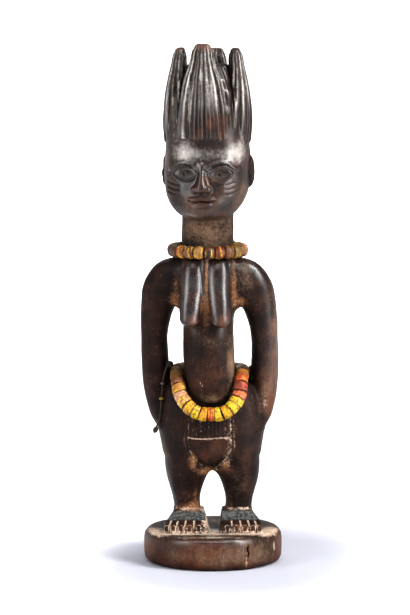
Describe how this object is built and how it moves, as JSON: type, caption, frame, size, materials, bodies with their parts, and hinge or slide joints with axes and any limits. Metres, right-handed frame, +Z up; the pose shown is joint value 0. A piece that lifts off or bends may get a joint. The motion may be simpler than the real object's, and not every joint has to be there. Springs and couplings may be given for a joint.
{
  "type": "ibeji figure",
  "caption": "Standing twin figure carved in dark wood with its round base, tall fluted hair in four lobes, hands laid on the hips, strings of glass beads at neck and waist.",
  "frame": {"origin": "centre of the underside of the round base", "axes": "+Z up, the figure looks along -Y, its right hand is towards -X"},
  "size_m": [0.0738, 0.0724, 0.27],
  "materials": {
    "wood": "dark patina, polished by handling, worn red-brown on the raised parts",
    "string": "dark twisted cotton",
    "bead_yellow": "opaque yellow glass, matt with wear",
    "bead_ochre": "opaque ochre glass, matt with wear",
    "bead_red": "opaque brick-red glass, matt with wear",
    "bead_pink": "opaque dusty pink glass, matt with wear",
    "bead_brown": "opaque dark brown glass, matt with wear"
  },
  "bodies": {
    "root": {"carved_figure": "wood", "necklace_string": "string", "waist_string": "string", "waist_string_tail": "string", "tail_knot": "string", "necklace_bead_01": "bead_ochre", "necklace_bead_02": "bead_yellow", "necklace_bead_03": "bead_brown", "necklace_bead_04": "bead_yellow", "necklace_bead_05": "bead_red", "necklace_bead_06": "bead_ochre", "necklace_bead_07": "bead_yellow", "necklace_bead_08": "bead_brown", "necklace_bead_09": "bead_yellow", "necklace_bead_10": "bead_red", "necklace_bead_11": "bead_ochre", "necklace_bead_12": "bead_yellow", "necklace_bead_13": "bead_brown", "necklace_bead_14": "bead_yellow", "necklace_bead_15": "bead_red", "necklace_bead_16": "bead_ochre", "necklace_bead_17": "bead_yellow", "necklace_bead_18": "bead_brown", "necklace_bead_19": "bead_yellow", "necklace_bead_20": "bead_red", "necklace_bead_21": "bead_ochre", "necklace_bead_22": "bead_yellow", "waist_bead_01": "bead_pink", "waist_bead_02": "bead_yellow", "waist_bead_03": "bead_yellow", "waist_bead_04": "bead_ochre", "waist_bead_05": "bead_yellow", "waist_bead_06": "bead_red", "waist_bead_07": "bead_pink", "waist_bead_08": "bead_yellow", "waist_bead_09": "bead_yellow", "waist_bead_10": "bead_ochre", "waist_bead_11": "bead_yellow", "waist_bead_12": "bead_red", "waist_bead_13": "bead_pink", "waist_bead_14": "bead_yellow", "waist_bead_15": "bead_yellow", "waist_bead_16": "bead_ochre", "waist_bead_17": "bead_yellow", "waist_bead_18": "bead_red", "waist_bead_19": "bead_pink", "waist_bead_20": "bead_yellow", "waist_bead_21": "bead_yellow", "waist_bead_22": "bead_ochre", "waist_bead_23": "bead_yellow", "waist_bead_24": "bead_red", "waist_bead_25": "bead_pink", "waist_bead_26": "bead_yellow", "waist_bead_27": "bead_yellow", "waist_bead_28": "bead_ochre", "waist_bead_29": "bead_yellow", "waist_bead_30": "bead_red", "waist_bead_31": "bead_pink", "waist_bead_32": "bead_yellow", "waist_bead_33": "bead_yellow"}
  },
  "joints": []
}
